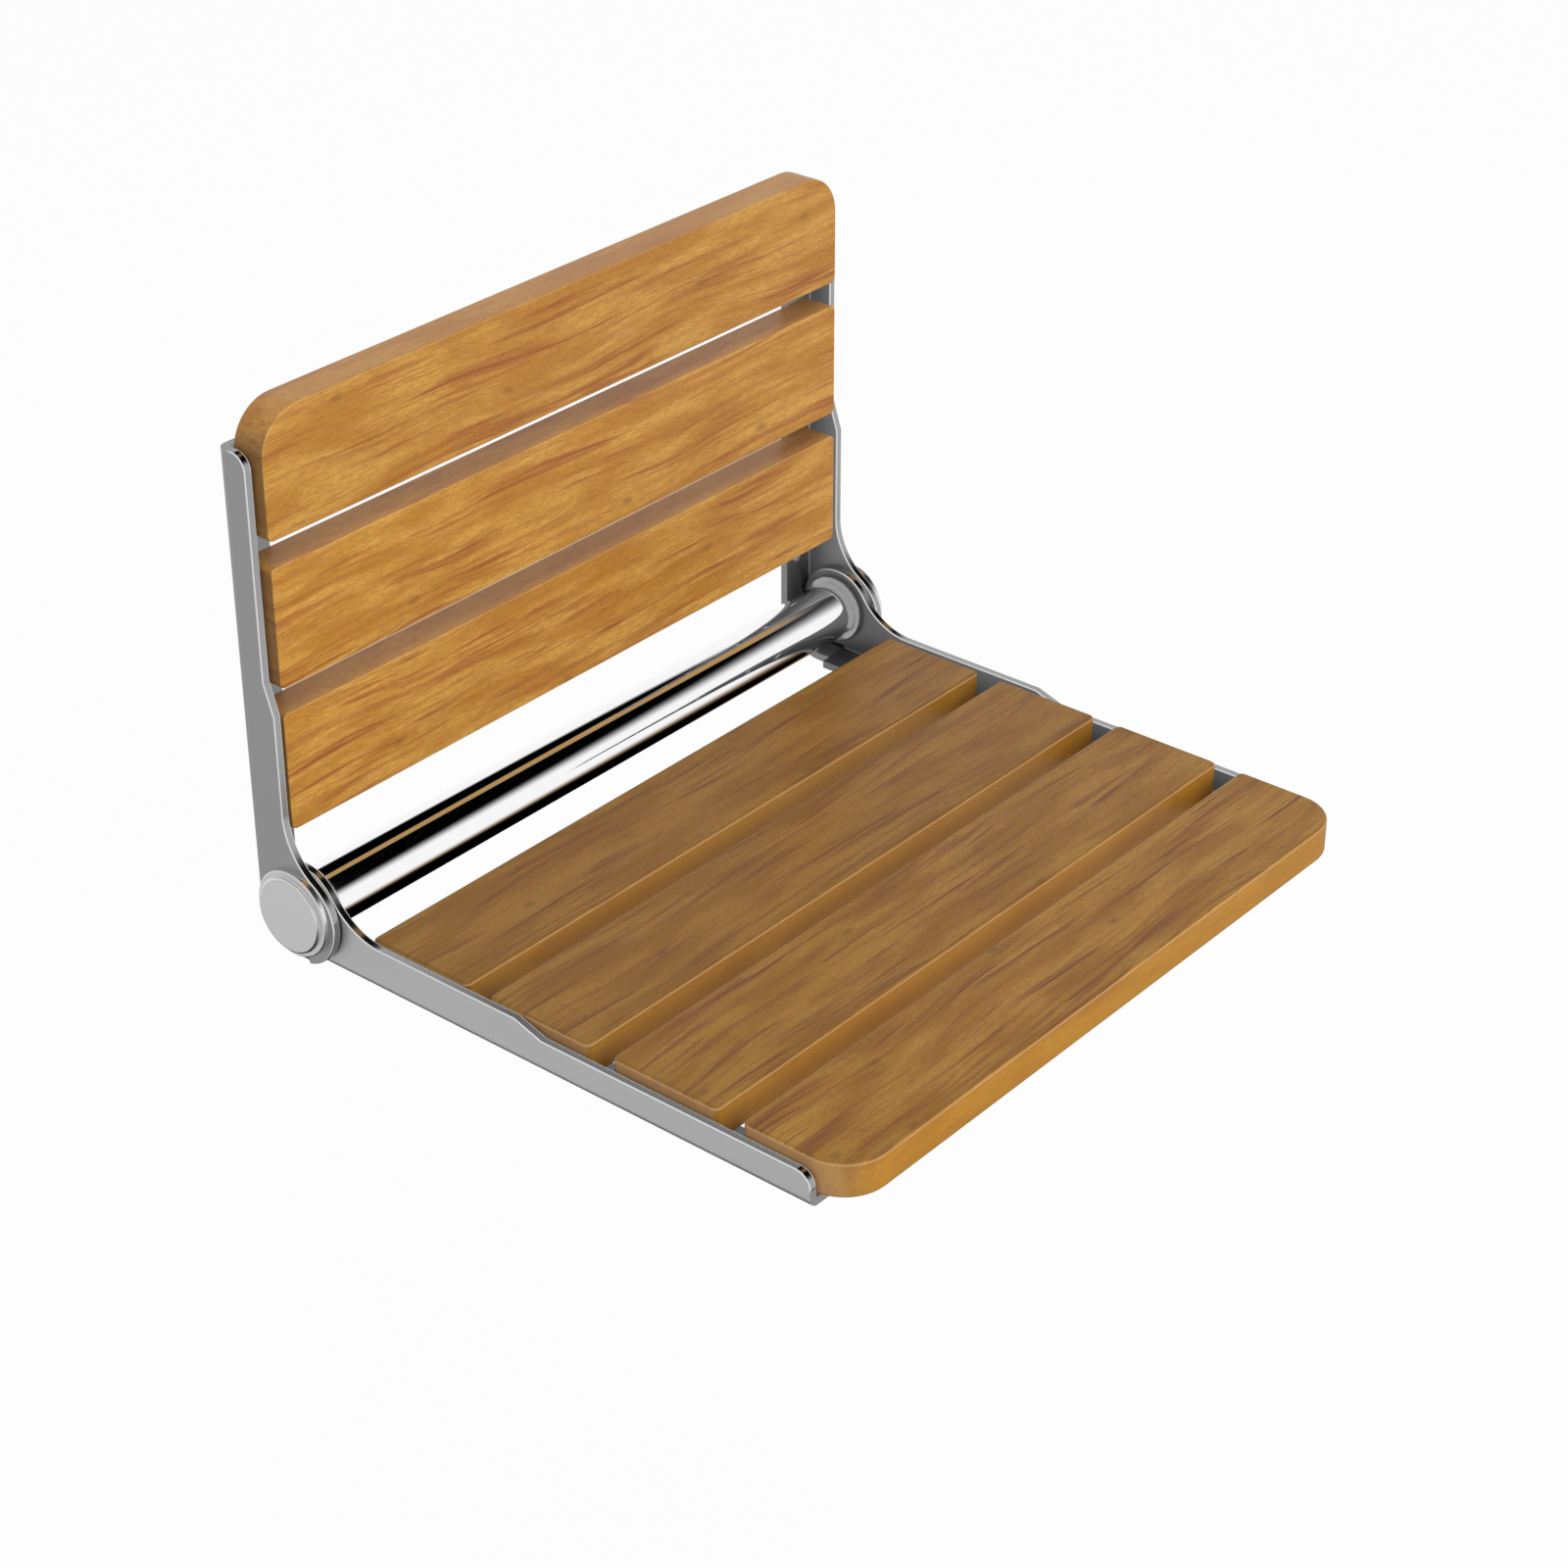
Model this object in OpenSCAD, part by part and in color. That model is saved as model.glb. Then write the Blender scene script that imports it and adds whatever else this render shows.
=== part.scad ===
// Fold down wall seat: a slatted seat and a slatted back on pressed steel arms,
// joined by one hinge line with a cross tube. Drawn with the seat down.
// X runs along the slats, Y into the wall, Z up. The wall face is the plane y = 0,
// and the origin is the centre of the four main wall screw holes.

/* [Slats] */
// Length of a seat slat
seat_slat_l = 375; // [300:1:460]
// Width of every slat
slat_w = 59; // [52:0.5:66]
// Thickness of every slat
slat_t = 18; // [15:0.5:19]
// Gap between two seat slats
seat_gap = 13.5; // [10:0.5:18]
// Gap between two back slats, wide enough for a wall screw's head
back_gap = 12.5; // [12.5:0.5:18]
// Rounding of every slat edge
slat_edge_r = 1.8; // [0.8:0.1:3]
// Plan radius of the plain slat corners
slat_corner_r = 3.2; // [3.1:0.1:6]
// Plan radius of the front corners of the seat and the top corners of the back
far_corner_r = 22; // [12:1:28]
// Hinge axis to the nearest seat slat
seat_setback = 37; // [36:0.5:46]
// Hinge axis to the nearest back slat
back_setback = 38; // [36:0.5:46]

/* [Arms] */
// Thickness of the arms' steel sheet
sheet_t = 4; // [3:0.1:4.5]
// Hinge axis to the wall face, and to the underside of the seat arms
hub_r = 26.5; // [25:0.5:30]
// Width of the arms' flange that carries the slats
flange_w = 22; // [20:0.5:26]
// Outside radius of the bend between an arm's side and its flange
bend_r = 5; // [4.8:0.1:5.5]
// Height of an arm's wide part over the slat face
arm_lip = 0.2; // [0:0.1:2]
// Depth of an arm's narrow part under the slat face
arm_drop = 5; // [3:0.1:6]
// Hinge axis to the step of a seat arm
seat_step_at = 130; // [90:1:160]
// Hinge axis to the step of a back arm
back_step_at = 98; // [80:1:120]
// Length of the slope at a step
step_run = 16; // [8:0.5:24]
// Overhang of the last slat past the arms
arm_setback = 17.5; // [12:0.5:24]
// Corner radius at an arm's free end
arm_end_r = 8; // [3:0.5:10]
// Radius of the hollow between a hinge ear and an arm's edge
ear_hollow_r = 35; // [20:1:40]

/* [Hinge] */
// Diameter of the axle
axle_d = 10; // [8:0.5:12]
// Outside diameter of the cross tube
tube_d = 30; // [27:0.5:33]
// Wall of the cross tube
tube_wall = 1.5; // [1.2:0.1:2.2]
// Step from the cross tube up to the collar at each of its ends
collar_step = 3; // [2:0.1:4]
// Thickness of the collar
collar_t = 3; // [2:0.5:6]
// Length of the collar's spigot inside the tube
spigot_l = 8; // [4:0.5:14]
// Wall of the hinge bush
bush_wall = 2; // [1:0.1:2.5]
// Thickness of the washer between two arms
washer_t = 0.9; // [0.5:0.1:1.5]
// Diameter of the hub cap's rim
cap_d = 43; // [40:0.1:43.6]
// Diameter of the hub cap's flat face
cap_face_d = 37.6; // [32:0.1:39]
// Height of the hub cap
cap_h = 6; // [5.8:0.1:9]
// Length of the lip that stops the seat when it is down
stop_l = 6; // [4:0.5:8]

/* [Fasteners] */
// Diameter of a wall screw hole
wall_hole_d = 6.5; // [5:0.1:7]
// Height of the lowest wall screw over the hinge axis
wall_hole_low = 24.75; // [23:0.25:28]
// Outer side of an arm to its screws
screw_inset = 14; // [12:0.1:15]
// Diameter of a slat screw
screw_d = 4; // [3:0.1:5]
// Length of a slat screw
screw_l = 15; // [12:0.5:16]
// Distance between the two screws at one end of a slat
screw_pitch = 24; // [18:1:26]

/* [Hidden] */
$fn = 64;

// Clearances
seat_end_gap = 1.5;
back_end_gap = 2;
face_gap = 0.1;
run_gap = 0.06;
thread_gap = 0.05;
hole_gap = 0.2;
rim_gap = 1;
stop_gap = 0.3;
cut = 1;

// Stations along X, from the middle outwards
seat_arm_x = seat_slat_l / 2 + seat_end_gap;
seat_face_x = seat_arm_x + sheet_t;
back_arm_x = seat_face_x + washer_t + face_gap;
back_face_x = back_arm_x + sheet_t;
back_slat_l = 2 * (back_arm_x - back_end_gap);
tube_end_x = seat_arm_x - collar_t;

// Stations square to the slats, from the hinge axis
slat_back = hub_r - sheet_t;
slat_face = slat_back - slat_t;
bend_at = hub_r - bend_r;
wide_edge = slat_face - arm_lip;
narrow_edge = slat_face + arm_drop;

// Stations along the arms, from the hinge axis
last_seat_slat = 3;
last_back_slat = 2;
function seat_slat_at(i) = seat_setback + i * (slat_w + seat_gap);
function back_slat_at(i) = back_setback + i * (slat_w + back_gap);

// The two screws at a slat's end are centred on the part that lies on the arm
function screws_at(s, last) = s + (slat_w - (last ? arm_setback : 0)) / 2;
seat_screws = [for (i = [0 : last_seat_slat]) screws_at(seat_slat_at(i), i == last_seat_slat)];
back_screws = [for (i = [0 : last_back_slat]) screws_at(back_slat_at(i), i == last_back_slat)];
seat_arm_l = seat_slat_at(last_seat_slat) + slat_w - arm_setback;
back_arm_l = back_slat_at(last_back_slat) + slat_w - arm_setback;

// Wall screws sit below the lowest back slat and in each gap above it
wall_holes = concat([wall_hole_low],
    [for (i = [1 : last_back_slat]) back_slat_at(i) - back_gap / 2]);
wall_hole_top = wall_holes[last_back_slat];
hinge_z = -(wall_hole_low + wall_hole_top) / 2;
back_screw_x = back_face_x - screw_inset;
seat_screw_x = seat_face_x - screw_inset;

// Radii about the hinge axis
axle_r = axle_d / 2;
bush_bore_r = axle_r + run_gap;
bush_r = bush_bore_r + bush_wall;
tube_bore_r = tube_d / 2 - tube_wall;
seat_ear_r = slat_back - rim_gap;
washer_r = bend_at - rim_gap;
cap_r = cap_d / 2;
cap_face_r = cap_face_d / 2;

// The back arm's ear hangs a little low, so that it meets the stop lip's underside
ear_drop = 2.5;
back_ear_r = hub_r - ear_drop;
flange_corner_r = 5;

// Nut on the axle, and the small forms of the turned parts
nut_af = axle_d * 1.7;
nut_t = axle_d * 0.4;
nut_r = nut_af / 2 / cos(30);
nut_face_r = nut_af * 0.47;
axle_chamfer = axle_d * 0.1;
cap_rim_h = cap_h * 0.57;
cap_round = cap_h * 0.25;
cap_rim_round = cap_h * 0.12;
cap_bore_r = nut_r + hole_gap;
cap_bore_h = nut_t + face_gap;
collar_round = collar_t * 0.16;

// Screw forms
screw_r = screw_d / 2;
head_r = screw_d;
csk_h = head_r - screw_r;
pan_h = screw_d * 0.6;
pan_round = screw_d * 0.2;
point_l = screw_d * 0.75;
point_r = screw_d * 0.1;
socket_r = screw_d * 0.36;
socket_h = screw_d * 0.4;
hole_r = screw_r + hole_gap;
pilot_r = screw_r + thread_gap;
pilot_h = screw_l - sheet_t + hole_gap;

wood = [0.76, 0.52, 0.26];
steel = [0.74, 0.75, 0.76];
chrome = [0.86, 0.87, 0.88];
zinc = [0.66, 0.67, 0.68];
nylon = [0.93, 0.92, 0.88];
brass = [0.72, 0.58, 0.33];

// Everything is drawn about the hinge axis: Y is the distance to the wall side,
// Z the distance along an arm that stands up. This puts it into its place.
module at_hinge() {
    translate([0, -hub_r, hinge_z]) children();
}

// Lays what is drawn standing up down to the front, as the seat lies
module laid_down() {
    at_hinge() mirror([0, 1, 1]) children();
}

// Makes the left hand piece from the right hand one
module left() {
    mirror([1, 0, 0]) children();
}

// Extrudes an outline of (y, z) along X, from x0
module plate(x0, t) {
    translate([x0, 0, 0]) rotate([90, 0, 90]) linear_extrude(t) children();
}

// Turns a profile of (radius, x) about the hinge axis
module turned(angle = 360) {
    rotate([0, 90, 0]) rotate_extrude(angle = angle) children();
}

// Round bore along the hinge axis between two stations
module bore(x0, x1, r) {
    translate([x0, 0, 0]) rotate([0, 90, 0]) cylinder(r = r, h = x1 - x0);
}

// Section through bend and flange: (distance from the hinge axis, x)
module angle_section(face_x) {
    translate([slat_back, face_x - flange_w]) square([sheet_t, flange_w - bend_r]);
    translate([bend_at, face_x - bend_r]) intersection() {
        difference() {
            circle(bend_r);
            circle(bend_r - sheet_t);
        }
        square(bend_r);
    }
}

// Straight run of bend and flange on the wall side, from s0 up to s1
module flange_run(face_x, s0, s1) {
    translate([0, 0, s0]) linear_extrude(s1 - s0) mirror([1, -1, 0]) angle_section(face_x);
}

// Outline of an arm's side from s0 up, with its flange on the wall side
module arm_side(s0, step_at, arm_l) {
    end_at = arm_l - arm_end_r;
    difference() {
        polygon([[bend_at, s0], [wide_edge, s0], [wide_edge, step_at],
            [narrow_edge, step_at + step_run], [narrow_edge, arm_l], [bend_at, arm_l]]);
        difference() {
            translate([narrow_edge - cut, end_at]) square(arm_end_r + cut);
            translate([narrow_edge + arm_end_r, end_at]) circle(arm_end_r);
        }
    }
}

// Web that blends an ear of radius r, dropped by drop, into the arm's wide edge
module ear_web(r, drop) {
    far = r + ear_hollow_r;
    across = wide_edge - ear_hollow_r;
    along = sqrt(far * far - across * across);
    difference() {
        polygon([[0, -drop], [across, along - drop], [wide_edge + cut, along - drop],
            [wide_edge + cut, 0]]);
        translate([across, along - drop]) circle(ear_hollow_r);
    }
}

// Rounds the free corner of a flange that ends at height s
module flange_corner_cut(face_x, s) {
    translate([face_x - flange_w, slat_back - cut, s]) rotate([-90, 0, 0])
        linear_extrude(sheet_t + 2 * cut) difference() {
            translate([-cut, -cut]) square(flange_corner_r + cut);
            translate([flange_corner_r, flange_corner_r]) circle(flange_corner_r);
        }
}

// Places its children at both screws of each pair along an arm
module at_screws(pairs) {
    for (s = pairs, side = [-1, 1]) translate([0, 0, s + side * screw_pitch / 2]) children();
}

// Round hole through a flange on the wall side
module flange_hole(x, r) {
    translate([x, slat_back - cut, 0]) rotate([-90, 0, 0])
        cylinder(r = r, h = sheet_t + 2 * cut);
}

// Back arm: side, wall flange, and the rim that wraps under the hinge as a stop
module back_arm() {
    difference() {
        union() {
            plate(back_arm_x, sheet_t) {
                arm_side(0, back_step_at, back_arm_l);
                ear_web(back_ear_r, ear_drop);
                circle(bend_at);
                translate([-stop_l, -bend_at]) square([stop_l, bend_at]);
                difference() {
                    translate([0, -ear_drop]) circle(back_ear_r);
                    translate([-stop_l, -hub_r - cut]) square(2 * hub_r + 2 * cut);
                }
            }
            flange_run(back_face_x, 0, back_arm_l);
            turned(90) angle_section(back_face_x);
            mirror([0, 1, 1]) flange_run(back_face_x, 0, stop_l);
        }
        bore(back_arm_x - cut, back_face_x + cut, axle_r + thread_gap);
        flange_corner_cut(back_face_x, back_arm_l);
        for (s = wall_holes) translate([0, 0, s]) flange_hole(back_screw_x, wall_hole_d / 2);
        at_screws(back_screws) {
            flange_hole(back_screw_x, hole_r);
            translate([back_screw_x, hub_r - csk_h, 0]) rotate([-90, 0, 0])
                cylinder(r1 = hole_r, r2 = hole_r + csk_h + cut, h = csk_h + cut);
        }
    }
}

// Seat arm, drawn standing up: side with a round hinge ear, and slat flange
module seat_arm() {
    start = stop_l + stop_gap;
    difference() {
        union() {
            plate(seat_arm_x, sheet_t) {
                arm_side(start, seat_step_at, seat_arm_l);
                ear_web(seat_ear_r, 0);
                circle(seat_ear_r);
            }
            flange_run(seat_face_x, start, seat_arm_l);
        }
        bore(seat_arm_x - cut, seat_face_x + cut, bush_r + thread_gap);
        flange_corner_cut(seat_face_x, seat_arm_l);
        at_screws(seat_screws) flange_hole(seat_screw_x, hole_r);
    }
}

// Rounded puck that makes one corner of a slat
module slat_corner(x, z, r, facets) {
    e = slat_edge_r;
    lower = [for (a = [0 : 30 : 90]) [r - e + e * sin(a), e - e * cos(a)]];
    upper = [for (a = [0 : 30 : 90]) [r - e + e * cos(a), slat_t - e + e * sin(a)]];
    translate([x, 0, z]) rotate([-90, 0, 0]) rotate_extrude($fn = facets)
        polygon(concat([[0, 0]], lower, upper, [[0, slat_t]]));
}

// Slat standing at the wall side from height s, bored from behind for its screws.
// The last one on an arm has its far corners rounded.
module slat(s, length, last, screw_x) {
    near_r = slat_corner_r;
    far_r = last ? far_corner_r : near_r;
    facets = last ? 48 : 16;
    difference() {
        translate([0, slat_face, s]) hull() {
            for (side = [-1, 1]) {
                slat_corner(side * (length / 2 - near_r), near_r, near_r, 16);
                slat_corner(side * (length / 2 - far_r), slat_w - far_r, far_r, facets);
            }
        }
        for (side = [-1, 1]) at_screws([screws_at(s, last)])
            translate([side * screw_x, slat_back + cut, 0]) rotate([90, 0, 0])
                cylinder(r = pilot_r, h = pilot_h + cut);
    }
}

// Back slat number i, counted up from the hinge
module back_slat(i) {
    at_hinge() slat(back_slat_at(i), back_slat_l, i == last_back_slat, back_screw_x);
}

// Seat slat number i, counted out from the hinge
module seat_slat(i) {
    laid_down() slat(seat_slat_at(i), seat_slat_l, i == last_seat_slat, seat_screw_x);
}

// Shank and point of a slat screw, from the underside of its flange upwards
module screw_shank() {
    cylinder(r = screw_r, h = screw_l - point_l);
    translate([0, 0, screw_l - point_l]) cylinder(r1 = screw_r, r2 = point_r, h = point_l);
}

// Hexagon socket in a head whose top is at -z
module screw_socket(z) {
    translate([0, 0, -z - cut]) cylinder(r = socket_r, h = socket_h + cut, $fn = 6);
}

// Countersunk screw, its head flush with the flange's outer face
module countersunk_screw() {
    difference() {
        union() {
            cylinder(r1 = head_r, r2 = screw_r, h = csk_h);
            screw_shank();
        }
        screw_socket(0);
    }
}

// Pan head screw, its head standing on the flange's outer face
module pan_screw() {
    difference() {
        union() {
            translate([0, 0, -pan_h]) cylinder(r1 = head_r - pan_round, r2 = head_r, h = pan_round);
            translate([0, 0, pan_round - pan_h]) cylinder(r = head_r, h = pan_h - pan_round);
            screw_shank();
        }
        screw_socket(pan_h);
    }
}

// All the screws of one arm, driven in from the flange's outer face
module screw_row(pairs, x) {
    at_screws(pairs) translate([x, hub_r, 0]) rotate([90, 0, 0]) children();
}

// Thin lock nut on the axle's end
module axle_nut() {
    translate([back_face_x, 0, 0]) rotate([0, 90, 0]) difference() {
        intersection() {
            cylinder(r = nut_r, h = nut_t, $fn = 6);
            cylinder(r1 = nut_face_r + 2 * nut_t, r2 = nut_face_r, h = nut_t);
        }
        translate([0, 0, -cut]) cylinder(r = axle_r + thread_gap, h = nut_t + 2 * cut);
    }
}

// Rounded outer corner of a turned profile, from its side to its face at x
function quarter_round(r, x, e) =
    [for (a = [0 : 22.5 : 90]) [r - e + e * cos(a), x - e + e * sin(a)]];

// Hub cap: a rim and a smaller flat face, hollow over the nut
module hub_cap() {
    x0 = back_face_x;
    turned() polygon(concat([[cap_bore_r, x0]], [[cap_r, x0]],
        quarter_round(cap_r, x0 + cap_rim_h, cap_rim_round), [[cap_face_r, x0 + cap_rim_h]],
        quarter_round(cap_face_r, x0 + cap_h, cap_round),
        [[0, x0 + cap_h], [0, x0 + cap_bore_h], [cap_bore_r, x0 + cap_bore_h]]));
}

// Friction washer between the two arms
module spacer_washer() {
    inner = axle_r + hole_gap;
    turned() translate([inner, seat_face_x + face_gap / 2]) square([washer_r - inner, washer_t]);
}

// Collar that centres the cross tube on the seat arm, with a spigot in the tube
module tube_collar() {
    r = tube_d / 2 + collar_step;
    inner = bush_r + thread_gap;
    spigot_r = tube_bore_r - thread_gap;
    turned() polygon([[inner, tube_end_x - spigot_l], [spigot_r, tube_end_x - spigot_l],
        [spigot_r, tube_end_x], [r - collar_round, tube_end_x],
        [r, tube_end_x + collar_round], [r, seat_arm_x - collar_round],
        [r - collar_round, seat_arm_x], [inner, seat_arm_x]]);
}

// Plain bush that turns on the axle, as long as collar and seat arm together
module hinge_bush() {
    turned() translate([bush_bore_r, tube_end_x])
        square([bush_wall, seat_face_x - tube_end_x]);
}

module back_arm_left() { color(steel) at_hinge() left() back_arm(); }
module back_arm_right() { color(steel) at_hinge() back_arm(); }
module back_slat_top() { color(wood) back_slat(2); }
module back_slat_middle() { color(wood) back_slat(1); }
module back_slat_bottom() { color(wood) back_slat(0); }
module back_screws_right() {
    color(zinc) at_hinge() screw_row(back_screws, back_screw_x) countersunk_screw();
}
module back_screws_left() {
    color(zinc) at_hinge() left() screw_row(back_screws, back_screw_x) countersunk_screw();
}
module hinge_axle() {
    end_x = back_face_x + nut_t;
    color(zinc) at_hinge() turned() polygon([[0, -end_x], [axle_r - axle_chamfer, -end_x],
        [axle_r, axle_chamfer - end_x], [axle_r, end_x - axle_chamfer],
        [axle_r - axle_chamfer, end_x], [0, end_x]]);
}
module axle_nut_left() { color(zinc) at_hinge() left() axle_nut(); }
module axle_nut_right() { color(zinc) at_hinge() axle_nut(); }
module hub_cap_left() { color(chrome) at_hinge() left() hub_cap(); }
module hub_cap_right() { color(chrome) at_hinge() hub_cap(); }
module spacer_washer_left() { color(nylon) at_hinge() left() spacer_washer(); }
module spacer_washer_right() { color(nylon) at_hinge() spacer_washer(); }
module seat_arm_left() { color(steel) laid_down() left() seat_arm(); }
module seat_arm_right() { color(steel) laid_down() seat_arm(); }
module seat_slat_1() { color(wood) seat_slat(0); }
module seat_slat_2() { color(wood) seat_slat(1); }
module seat_slat_3() { color(wood) seat_slat(2); }
module seat_slat_4() { color(wood) seat_slat(3); }
module seat_screws_right() {
    color(zinc) laid_down() screw_row(seat_screws, seat_screw_x) pan_screw();
}
module seat_screws_left() {
    color(zinc) laid_down() left() screw_row(seat_screws, seat_screw_x) pan_screw();
}
module cross_tube() {
    color(chrome) at_hinge() turned() translate([tube_bore_r, -tube_end_x])
        square([tube_wall, 2 * tube_end_x]);
}
module tube_collar_left() { color(chrome) at_hinge() left() tube_collar(); }
module tube_collar_right() { color(chrome) at_hinge() tube_collar(); }
module hinge_bush_left() { color(brass) at_hinge() left() hinge_bush(); }
module hinge_bush_right() { color(brass) at_hinge() hinge_bush(); }

back_arm_left();
back_arm_right();
back_slat_top();
back_slat_middle();
back_slat_bottom();
back_screws_left();
back_screws_right();
hinge_axle();
axle_nut_left();
axle_nut_right();
hub_cap_left();
hub_cap_right();
spacer_washer_left();
spacer_washer_right();
seat_arm_left();
seat_arm_right();
seat_slat_1();
seat_slat_2();
seat_slat_3();
seat_slat_4();
seat_screws_left();
seat_screws_right();
cross_tube();
tube_collar_left();
tube_collar_right();
hinge_bush_left();
hinge_bush_right();
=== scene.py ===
import math

import bmesh
import bpy
import numpy as np
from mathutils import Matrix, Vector


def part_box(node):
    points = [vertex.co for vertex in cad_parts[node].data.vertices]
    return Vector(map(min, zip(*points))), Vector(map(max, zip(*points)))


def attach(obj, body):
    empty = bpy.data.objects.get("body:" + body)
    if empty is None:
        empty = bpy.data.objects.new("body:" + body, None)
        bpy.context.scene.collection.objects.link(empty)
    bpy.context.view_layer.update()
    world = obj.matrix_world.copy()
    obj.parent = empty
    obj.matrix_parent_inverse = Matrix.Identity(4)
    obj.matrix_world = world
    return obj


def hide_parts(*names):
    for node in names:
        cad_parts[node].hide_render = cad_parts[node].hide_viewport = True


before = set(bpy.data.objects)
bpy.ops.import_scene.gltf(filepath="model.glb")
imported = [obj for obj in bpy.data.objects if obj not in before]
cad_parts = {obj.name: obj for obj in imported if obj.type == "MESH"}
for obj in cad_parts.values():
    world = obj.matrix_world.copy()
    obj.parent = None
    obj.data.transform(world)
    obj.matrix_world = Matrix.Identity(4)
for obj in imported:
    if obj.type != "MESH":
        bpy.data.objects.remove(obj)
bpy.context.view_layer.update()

# Back slats: three boards of oiled hardwood, planed, their edges broken, the top one with
# big upper corners. Each is held by four countersunk screws from behind its arms.
MM = 0.001
BACK_EDGE = 0.6 * MM
PLAIN_CORNER = 3.2 * MM
BIG_CORNER = 22 * MM
HOLDING_LOOP = 0.4 * MM
CORNER_STEPS, EDGE_STEPS = 12, 13
BACK_COLOURS = {"light": (0.74, 0.385, 0.07), "deep": (0.53, 0.22, 0.02),
                "streak": (0.38, 0.1, 0.02), "fleck_and_shade": (0.27, 0.115, 0.02),
                "side": (0.44, 0.225, 0.09), "end": (0.175, 0.09, 0.04)}
# Colour of the painted highlight along rounded edges.
HIGHLIGHT_WOOD = (0.74, 0.48, 0.26)
# Painted shade: how much darker each board of the back is, from 0 to 1.
BACK_BOARDS = {"back_slat_bottom": 0.0, "back_slat_middle": 0.0, "back_slat_top": 0.12}

# Grain, in millimetres. A wave has its length, width, shift from board to board and height.
# A layer has its length, width, depth and shift, its noise's detail and roughness, and the
# noise values where it starts and is full.
BOARD_OFFSET = 61.0
WAVES = [(150, 70, 3.7, 22.0), (36, 14, 1.3, 1.6)]
LAYERS = {"cloud": (62, 13, 24, 1.0, 2.0, 0.5, 0.36, 0.64),
          "zone": (105, 11, 30, 2.3, 1.0, 0.5, 0.44, 0.54),
          "broad": (78, 3.6, 12, 1.7, 2.0, 0.5, 0.5, 0.64),
          "thread": (66, 1.5, 6, 1.0, 3.0, 0.6, 0.5, 0.62),
          "fibre": (5, 0.7, 1.5, 1.0, 3.0, 0.66, 0.36, 0.64),
          "pore": (3.2, 0.6, 0.9, 1.0, 1.0, 0.5, 0.56, 0.76)}
BUD_LENGTH, BUD_WIDTH, BUD_SHIFT, BUD_SPREAD = 104, 52, 0.37, 0.8
BUD_CORE, BUD_RIM = 0.008, 0.055
CLOUD_SHARE, BROAD_SHARE, BROAD_IN_ZONE, THREAD_IN_ZONE = 0.85, 0.28, 0.34, 0.5
PORE_SHARE, BUD_SHARE, FIBRE_SHARE, SIDE_LIGHT_SHARE, END_SHARE = 0.2, 0.6, 0.4, 0.6, 0.75
SHADED_SHARE, HIGHLIGHT_SHARE = 0.3, 0.45
WOOD_ROUGHNESS, FIBRE_ROUGHNESS, FIBRE_RELIEF = 0.4, 0.14, 0.03 * MM

# Angle from straight up, in degrees, and spread of the painted highlight and the painted
# dark reflection that run along a board's rounded edges.
HIGHLIGHT_AT, HIGHLIGHT_SPREAD = 68, 20
SHADED_AT, SHADED_SPREAD = 27, 22
# Least sin(2 lean) of a point that lies on a rounded edge.
CURVED = 0.05


class Signal:
    """Output of a shader node. Sums of signals and numbers add their own Math nodes."""

    def __init__(self, finish, socket):
        self.finish = finish
        self.socket = socket

    def math(self, operation, *terms):
        return self.finish.add("ShaderNodeMath", {"operation": operation}, dict(enumerate(terms)))

    def __add__(self, other):
        return self.math("ADD", self, other)

    def __radd__(self, other):
        return self.math("ADD", other, self)

    def __sub__(self, other):
        return self.math("SUBTRACT", self, other)

    def __rsub__(self, other):
        return self.math("SUBTRACT", other, self)

    def __mul__(self, other):
        return self.math("MULTIPLY", self, other)

    def __rmul__(self, other):
        return self.math("MULTIPLY", other, self)

    def __truediv__(self, other):
        return self.math("DIVIDE", self, other)

    def __pow__(self, other):
        return self.math("POWER", self, other)


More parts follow.
